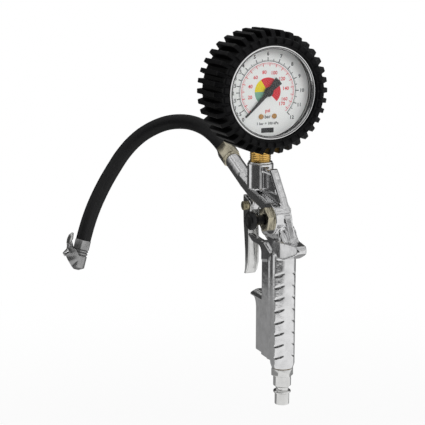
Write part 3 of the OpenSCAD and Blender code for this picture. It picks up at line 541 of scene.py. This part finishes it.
def boot_rings():
    """The boot as rings round the dial's axis. A base profile runs out over the front face, back along the side
    and in under the case. Lugs lift it outwards: their height is a soft step in the angle times a ramp that
    starts at the front shoulder. Blocks, half a pitch on, lift the front face forwards."""
    front, back = BOOT_LOW[1], BOOT_HIGH[1]
    deep = front + BLOCK_H
    base = np.array([
        (31.3, deep + 1.2 * MM), (31.3, deep - 0.2 * MM), (31.6, deep - 0.7 * MM), (32.1, deep - 0.7 * MM),
        (32.4, deep - 0.2 * MM), (32.7, deep), (33.3, deep), (34.2, deep), (35.2, deep), (35.9, deep),
        (36.3, deep + 0.2 * MM), (36.5, deep + 0.5 * MM), (36.62, deep + 1.0 * MM), (36.65, deep + 1.7 * MM)])
    side_y = np.r_[deep + np.array([2.3, 3.0, 3.8, 4.6, 5.2, 5.8, 6.6, 9, 13, 17, 21, 25]) * MM,
                   back - np.array([4.4, 3.2, 2.6, 2.0, 1.6, 1.3, 1.0, 0.7]) * MM]
    side = np.stack([np.full(len(side_y), BOOT_BASE_R / MM), side_y], -1)
    rear = np.array([(36.6, back - 0.35 * MM), (36.3, back - 0.1 * MM), (35.8, back), (33, back), (29.4, back),
                     (28.9, back - 0.3 * MM), (28.8, back - 1.2 * MM), (28.8, back - 2.4 * MM)])
    inner = np.array([(31.8, back - 2.6 * MM), (31.8, deep + 2.2 * MM), (31.5, deep + 1.5 * MM)])
    profile = np.vstack([base, side, rear, inner])
    r, y = profile[:, :1] * MM, profile[:, 1:]
    flank = [0.315, 0.302, 0.288, 0.27, 0.25, 0.23, 0.215, 0.203, 0.19]
    pitch = np.array([-0.5, -0.4] + [-f for f in flank] + [-0.1, 0, 0.1] + flank[::-1] + [0.4])
    turn = (np.arange(LUG_N)[:, None] + pitch).ravel()
    t = np.abs((turn + 0.5) % 1 - 0.5)
    lug = 1 - step(t, 0.195, 0.31)
    block = step(t, 0.13, 0.2)
    ramp = step(y, deep + 0.2 * MM, deep + 4.4 * MM) ** 0.6 * (1 - step(y, back - 2.2 * MM, back - 0.9 * MM))
    outside = (r > 36.2 * MM)
    lift = lug * ramp * outside * LUG_H
    on_face = step(r, 32.4 * MM, 32.9 * MM) * (1 - step(r, 35.9 * MM, 36.6 * MM)) * (y < deep + 1.4 * MM)
    push = block * on_face * BLOCK_H
    angle = turn * 2 * pi / LUG_N
    radius = r + lift
    return np.stack([DIAL_X + radius * np.cos(angle), y - push + 0 * angle, DIAL_Z + radius * np.sin(angle)], -1)


boot = surface("boot_treads", boot_rings(), loop=True)
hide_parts("rubber_boot")
finish(boot, "boot_rubber")


# ---------------------------------------------------------------- dial print

PRINT_LIFT = 0.04 * MM
FULL_SCALE = 12.0
ZERO_TURN = 45.0
SWEEP = 270.0
PSI_PER_BAR = 14.504
PSI_END = 174
SECTOR_R = 9.4
RED_FROM = (148 - ZERO_TURN) / (SWEEP / FULL_SCALE)


def dial_turn(bar):
    """Angle of a pressure, clockwise from straight down, in radians."""
    return np.radians(ZERO_TURN + SWEEP * np.asarray(bar, float) / FULL_SCALE)


def on_dial(radius, turn, lift=PRINT_LIFT):
    """Points on the dial's face from their radius in millimetres and turn, lifted towards the viewer."""
    radius, turn = np.broadcast_arrays(np.asarray(radius, float) * MM, turn)
    return np.stack([DIAL_X - radius * np.sin(turn), np.full(radius.shape, DIAL_Y - lift),
                     DIAL_Z - radius * np.cos(turn)], -1)


def marks(name, bars, r0, r1, width, ink, lift=PRINT_LIFT):
    """One short bar across the scale at each pressure: four corners, half the width to each side of the radius."""
    turn = dial_turn(bars)[:, None]
    radius = np.array([r0, r1, r1, r0])
    side = np.array([-1, -1, 1, 1]) * width / 2
    corners = on_dial(np.hypot(radius, side), turn + np.arctan2(side, radius), lift)
    faces = np.arange(corners.shape[0] * 4).reshape(-1, 4)
    return printed(name, corners.reshape(-1, 3), faces.tolist(), ink)


def band(name, bar0, bar1, r0, r1, ink):
    """A ring sector between two pressures and two radii."""
    turn = np.linspace(dial_turn(bar0), dial_turn(bar1), 73)
    inner, outer = on_dial(r0, turn), on_dial(r1, turn)
    i = np.arange(72)
    faces = np.stack([i, i + 73, i + 74, i + 1], -1)
    return printed(name, np.vstack([inner, outer]), faces.tolist(), ink)


def printed(name, points, faces, ink):
    """A thin layer of ink on the dial, facing the viewer."""
    piece = mesh_piece(name, points, faces, smooth=False)
    normals = np.empty(len(piece.data.polygons) * 3)
    piece.data.polygons.foreach_get("normal", normals)
    if normals.reshape(-1, 3)[:, 1].sum() > 0:
        piece.data.flip_normals()
    finish(piece, ink)
    return piece


def words(name, labels, ink):
    """Printed words as one mesh: labels are (text, x, z, height) in millimetres from the dial's centre."""
    points, faces = [], []
    for text, x, z, height in labels:
        curve = bpy.data.curves.new(name, "FONT")
        curve.body = text
        curve.size = height * 1.38
        curve.align_x = "CENTER"
        curve.resolution_u = 3
        curve.offset = height * 0.035
        letters = bpy.data.objects.new(name, curve)
        scene.collection.objects.link(letters)
        graph = bpy.context.evaluated_depsgraph_get()
        mesh = bpy.data.meshes.new_from_object(letters.evaluated_get(graph))
        flat = np.empty(len(mesh.vertices) * 3)
        mesh.vertices.foreach_get("co", flat)
        flat = flat.reshape(-1, 3)
        start = sum(len(p) for p in points)
        faces += [[start + k for k in polygon.vertices] for polygon in mesh.polygons]
        points.append(np.stack([
            DIAL_X + (x + flat[:, 0]) * MM, np.full(len(flat), DIAL_Y - PRINT_LIFT),
            DIAL_Z + (z - height / 2 + flat[:, 1]) * MM], -1))
        bpy.data.objects.remove(letters)
        bpy.data.curves.remove(curve)
    return printed(name, np.vstack(points), faces, ink)


def ring_labels(values, bars, radius, height):
    """Labels set round the dial, each upright at its own turn."""
    turn = dial_turn(bars)
    return [(value, -radius * sin(a), -radius * cos(a), height) for value, a in zip(values, turn)]


# The bar scale has a number at each half bar up to 4 and at each bar above, the psi scale at each 20 and at 170
bar_steps = np.r_[np.arange(0, 4, 0.5), np.arange(4, 12.5, 1)]
marks("scale_fine", np.arange(0, 12.01, 0.1), 20.0, 21.1, 0.24, "ink_grey")
marks("scale_half", np.arange(0, 12.01, 0.5), 20.2, 21.9, 0.4, "ink_black", 1.5 * PRINT_LIFT)
marks("scale_bar", bar_steps, 20.2, 22.8, 0.55, "ink_black", 2 * PRINT_LIFT)
band("scale_line", 0, FULL_SCALE, 20.0, 20.3, "ink_black")
band("psi_line", 0, PSI_END / PSI_PER_BAR, 18.85, 19.15, "ink_pink")
marks("psi_fine", np.arange(0, PSI_END + 0.1, 2) / PSI_PER_BAR, 17.7, 18.9, 0.22, "ink_pink")
marks("psi_tens", np.arange(0, 171, 10) / PSI_PER_BAR, 16.9, 18.9, 0.5, "ink_red", 1.5 * PRINT_LIFT)
band("sector_green", 0, 2, 0, SECTOR_R, "ink_green")
band("sector_yellow", 2, RED_FROM, 0, SECTOR_R, "ink_yellow")
band("sector_red", RED_FROM, FULL_SCALE, 0, SECTOR_R, "ink_red")
words("bar_numbers", ring_labels([f"{b:g}" for b in bar_steps], bar_steps, 25.1, 2.4)
      + [("bar", 0, -16.4, 2.4), ("1 bar = 100 kPa", 0, -21.0, 1.8)], "ink_black")
psi_steps = np.r_[np.arange(20, 161, 20), 170]
words("psi_numbers", ring_labels([str(int(p)) for p in psi_steps], psi_steps / PSI_PER_BAR, 13.2, 2.3)
      + [("psi", 0, -12.4, 2.4)], "ink_red")


def name_box():
    """A plain dark box with nothing in it, low on the dial: its corners are rounded by quarter circles."""
    half_x, half_z, corner, low = 4.55, 1.65, 0.35, -25.7
    a = np.linspace(0, 2 * pi, 16, endpoint=False) + pi / 16
    x = np.sign(np.cos(a)) * (half_x - corner) + corner * np.cos(a)
    z = np.sign(np.sin(a)) * (half_z - corner) + corner * np.sin(a) + low
    points = np.stack([DIAL_X + x * MM, np.full(16, DIAL_Y - PRINT_LIFT), DIAL_Z + z * MM], -1)
    return printed("name_box", points, [list(range(16))], "ink_black")


name_box()


# ---------------------------------------------------------------- pointer cap

ARBOR_LOW, ARBOR_HIGH = (np.array(v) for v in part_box("pointer_arbor"))


def cap_rings():
    """A low round cap over the pointer's hub: a quarter of an ellipse, r = R cos(t) and height H sin(t)."""
    t = np.linspace(0, pi / 2 - 0.05, 10)
    r = np.r_[2.55, 2.55 * np.cos(t)] * MM
    y = ARBOR_LOW[1] + np.r_[0.75, 0.35 - 0.75 * np.sin(t)] * MM
    a = np.linspace(0, 2 * pi, 48, endpoint=False)
    return np.stack([DIAL_X + r[:, None] * np.cos(a), y[:, None] + 0 * a, DIAL_Z + r[:, None] * np.sin(a)], -1)


cap = surface("pointer_cap", cap_rings(), body="pointer")
finish(cap, "black_enamel")


# ---------------------------------------------------------------- brass stem

PORT_LOW, PORT_HIGH = (np.array(v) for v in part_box("gauge_washer"))
PORT_Y = (PORT_LOW[1] + PORT_HIGH[1]) / 2
STEM_R = 6.95 * MM
THREAD_PITCH = 1.3 * MM


def thread_rings():
    """A round bar whose radius follows a wave that climbs one pitch a turn: r = r0 + h (0.5 + 0.5 cos phase)."""
    z = np.linspace(PORT_HIGH[2], PORT_HIGH[2] + 6.8 * MM, 90)[:, None]
    a = np.linspace(0, 2 * pi, 72, endpoint=False)[None, :]
    phase = 2 * pi * (z / THREAD_PITCH) - a
    ends = step(z, z[0], z[0] + 0.8 * MM) * (1 - step(z, z[-1] - 0.8 * MM, z[-1]))
    r = STEM_R - 0.2 * MM + 0.42 * MM * (0.5 + 0.5 * np.cos(phase)) * ends
    return np.stack([r * np.cos(a), PORT_Y + r * np.sin(a), z + 0 * a], -1)


thread = surface("stem_thread", thread_rings())
finish(thread, "brass")


# ---------------------------------------------------------------- stage and light

FLOOR_Z = -0.12
FLOOR_HALF = 6.0
WALL_R = 0.78
WALL_TOP = 0.62
AIM = (0, 0.03, 0.13)

# Greys of the wall by the share of a turn, counter-clockwise seen from above, with the viewer at 0.5
WALL_GREYS = [
    (0.0, 0.05), (0.16, 0.06), (0.19, 0.85), (0.24, 0.9), (0.27, 0.08), (0.46, 0.05), (0.54, 0.9), (0.80, 1.0),
    (0.86, 0.12), (1.0, 0.05)]


def background_rays(tree):
    """1 for what the eye sees directly, in a mirror or through a window, and 0 for soft light."""
    path = put(tree, "LightPath")
    sight = put(tree, "Math", {"operation": "MAXIMUM"}, _0=path.outputs["Is Camera Ray"],
                _1=path.outputs["Is Transmission Ray"]).outputs[0]
    return put(tree, "Math", {"operation": "MAXIMUM"}, _0=sight, _1=path.outputs["Is Glossy Ray"]).outputs[0]


def floor():
    """A wide pale floor below the tool. To the eye it is white, apart from a share near the tool that keeps the
    tool's soft shadow."""
    points = [(x * FLOOR_HALF, y * FLOOR_HALF, FLOOR_Z) for x, y in ((-1, -1), (1, -1), (1, 1), (-1, 1))]
    mesh = bpy.data.meshes.new("floor")
    mesh.from_pydata(points, [], [(0, 1, 2, 3)])
    plane = bpy.data.objects.new("floor", mesh)
    scene.collection.objects.link(plane)
    material, tree, shader = blank("floor")
    shader.inputs["Base Color"].default_value = (0.6, 0.6, 0.6, 1)
    shader.inputs["Roughness"].default_value = 0.9
    place = put(tree, "TexCoord").outputs["Object"]
    away = put(tree, "VectorMath", {"operation": "LENGTH"}, _0=place).outputs["Value"]
    white = put(tree, "MapRange", {"interpolation_type": "SMOOTHSTEP"}, Value=away, From_Min=0.2, From_Max=0.75,
                To_Min=0.9, To_Max=1.0).outputs[0]
    seen = put(tree, "Math", {"operation": "MULTIPLY"}, _0=background_rays(tree), _1=white).outputs[0]
    glow = put(tree, "Emission", Color=(1, 1, 1, 1), Strength=1.0)
    mix = put(tree, "MixShader", _0=seen, _1=shader.outputs[0], _2=glow.outputs[0])
    tree.links.new(mix.outputs[0], tree.nodes["Material Output"].inputs[0])
    mesh.materials.append(material)


def studio():
    """White to the eye. The tool itself stands in a room that is bright in front, above and on the right, and
    falls off to dark behind and on the left: the ramp runs along one slanting direction."""
    world = bpy.data.worlds.new("studio")
    scene.world = world
    world.use_nodes = True
    tree = world.node_tree
    tree.nodes.clear()
    way = put(tree, "TexCoord").outputs["Generated"]
    towards = put(tree, "VectorMath", {"operation": "DOT_PRODUCT"}, _0=way, _1=(0.45, -0.8, 0.4)).outputs["Value"]
    room = tint(tree, put(tree, "MapRange", Value=towards, From_Min=-1.0, From_Max=1.0).outputs[0],
                [(0.0, (0.015, 0.015, 0.015)), (0.28, (0.05, 0.05, 0.05)), (0.45, (0.16, 0.16, 0.16)),
                 (0.6, (0.5, 0.5, 0.5)), (0.76, (0.95, 0.95, 0.95)), (1.0, (1.0, 1.0, 1.0))])
    soft = put(tree, "Background", Color=room, Strength=1.0)
    white = put(tree, "Background", Color=(1, 1, 1, 1), Strength=1.0)
    mix = put(tree, "MixShader", _0=background_rays(tree), _1=soft.outputs[0], _2=white.outputs[0])
    tree.links.new(mix.outputs[0], put(tree, "OutputWorld").inputs[0])


def softbox(name, place, aim, size, power):
    """A square lamp that looks from its place at its aim."""
    data = bpy.data.lights.new(name, "AREA")
    data.size = size
    data.energy = power
    lamp = bpy.data.objects.new(name, data)
    scene.collection.objects.link(lamp)
    way = Vector(aim) - Vector(place)
    lamp.matrix_world = Matrix.Translation(Vector(place)) @ way.to_track_quat("-Z", "Y").to_matrix().to_4x4()


def mirror_only(name, points, faces, material):
    """A card of the studio that shows in bright metal alone: the eye, the shadows and the soft light pass it."""
    mesh = bpy.data.meshes.new(name)
    mesh.from_pydata(np.asarray(points, float).tolist(), [], faces)
    mesh.materials.append(material)
    card = bpy.data.objects.new(name, mesh)
    scene.collection.objects.link(card)
    card.visible_camera = False
    card.visible_shadow = False
    card.visible_diffuse = False
    card.visible_transmission = False


def glowing(name, stops, turn_from=None):
    """A card's glow: one grey, or greys by the share of a full turn, with turn_from at the middle, 0.5."""
    material, tree, shader = blank(name)
    tree.nodes.remove(shader)
    if turn_from is None:
        glow = put(tree, "Emission", Color=(*[stops] * 3, 1), Strength=1.0)
    else:
        place = put(tree, "SeparateXYZ", Vector=place_of(tree, turn=(0, 0, -turn_from)))
        angle = put(tree, "Math", {"operation": "ARCTAN2"}, _0=place.outputs[1], _1=place.outputs[0]).outputs[0]
        share = put(tree, "MapRange", Value=angle, From_Min=-pi, From_Max=pi).outputs[0]
        glow = put(tree, "Emission", Color=tint(tree, share, [(at, (g, g, g)) for at, g in stops]), Strength=1.0)
    tree.links.new(glow.outputs[0], tree.nodes["Material Output"].inputs[0])
    return material


def walls():
    """A round wall about the tool. Its greys run from straight behind the tool past the left, the viewer and the
    right, back to behind: dark, a narrow light strip, dark, then a wide light field."""
    sides = 96
    a = np.linspace(0, 2 * pi, sides, endpoint=False)
    ring = np.stack([WALL_R * np.cos(a), WALL_R * np.sin(a)], -1)
    points = np.vstack([np.c_[ring, np.full(sides, FLOOR_Z + MM)], np.c_[ring, np.full(sides, WALL_TOP)]])
    faces = [[i, (i + 1) % sides, sides + (i + 1) % sides, sides + i] for i in range(sides)]
    mirror_only("studio_walls", points, faces, glowing("studio_walls", WALL_GREYS, AZIMUTH - pi / 2))


def back_card():
    """A grey half round on the floor behind the tool."""
    start = 0.10
    a = np.linspace(0, pi, 33)
    points = np.c_[WALL_R * np.cos(a), start + (WALL_R - start) * np.sin(a), np.full(33, FLOOR_Z + 2 * MM)]
    mirror_only("studio_back_card", points, [list(range(33))], glowing("studio_back_card", 0.32))


def ceiling():
    """A dome of cloudy greys above the wall: rings that draw in as they rise."""
    sides = 48
    a = np.linspace(0, 2 * pi, sides, endpoint=False)
    rings = [(WALL_R, WALL_TOP), (0.64, 0.80), (0.42, 0.93), (0.18, 0.99), (0.01, 1.0)]
    points = np.vstack([np.c_[r * np.cos(a), r * np.sin(a), np.full(sides, z)] for r, z in rings])
    faces = [[start + i, start + (i + 1) % sides, start + sides + (i + 1) % sides, start + sides + i]
             for start in range(0, sides * (len(rings) - 1), sides) for i in range(sides)]
    material, tree, shader = blank("studio_ceiling")
    tree.nodes.remove(shader)
    clouds = tint(tree, grain(tree, 8, 4), [(0.36, (0.06, 0.06, 0.06)), (0.45, (0.35, 0.35, 0.35)),
                                            (0.53, (0.85, 0.85, 0.85)), (0.62, (1.0, 1.0, 1.0))])
    glow = put(tree, "Emission", Color=clouds, Strength=1.0)
    tree.links.new(glow.outputs[0], tree.nodes["Material Output"].inputs[0])
    mirror_only("studio_ceiling", points, faces, material)


floor()
studio()
walls()
back_card()
ceiling()
softbox("key", (0.3, -1.4, 1.1), AIM, 1.0, 11.0)
softbox("fill", (1.2, -0.8, 0.4), AIM, 0.6, 4.0)
softbox("top", (0.1, 0.2, 1.4), AIM, 0.7, 3.0)
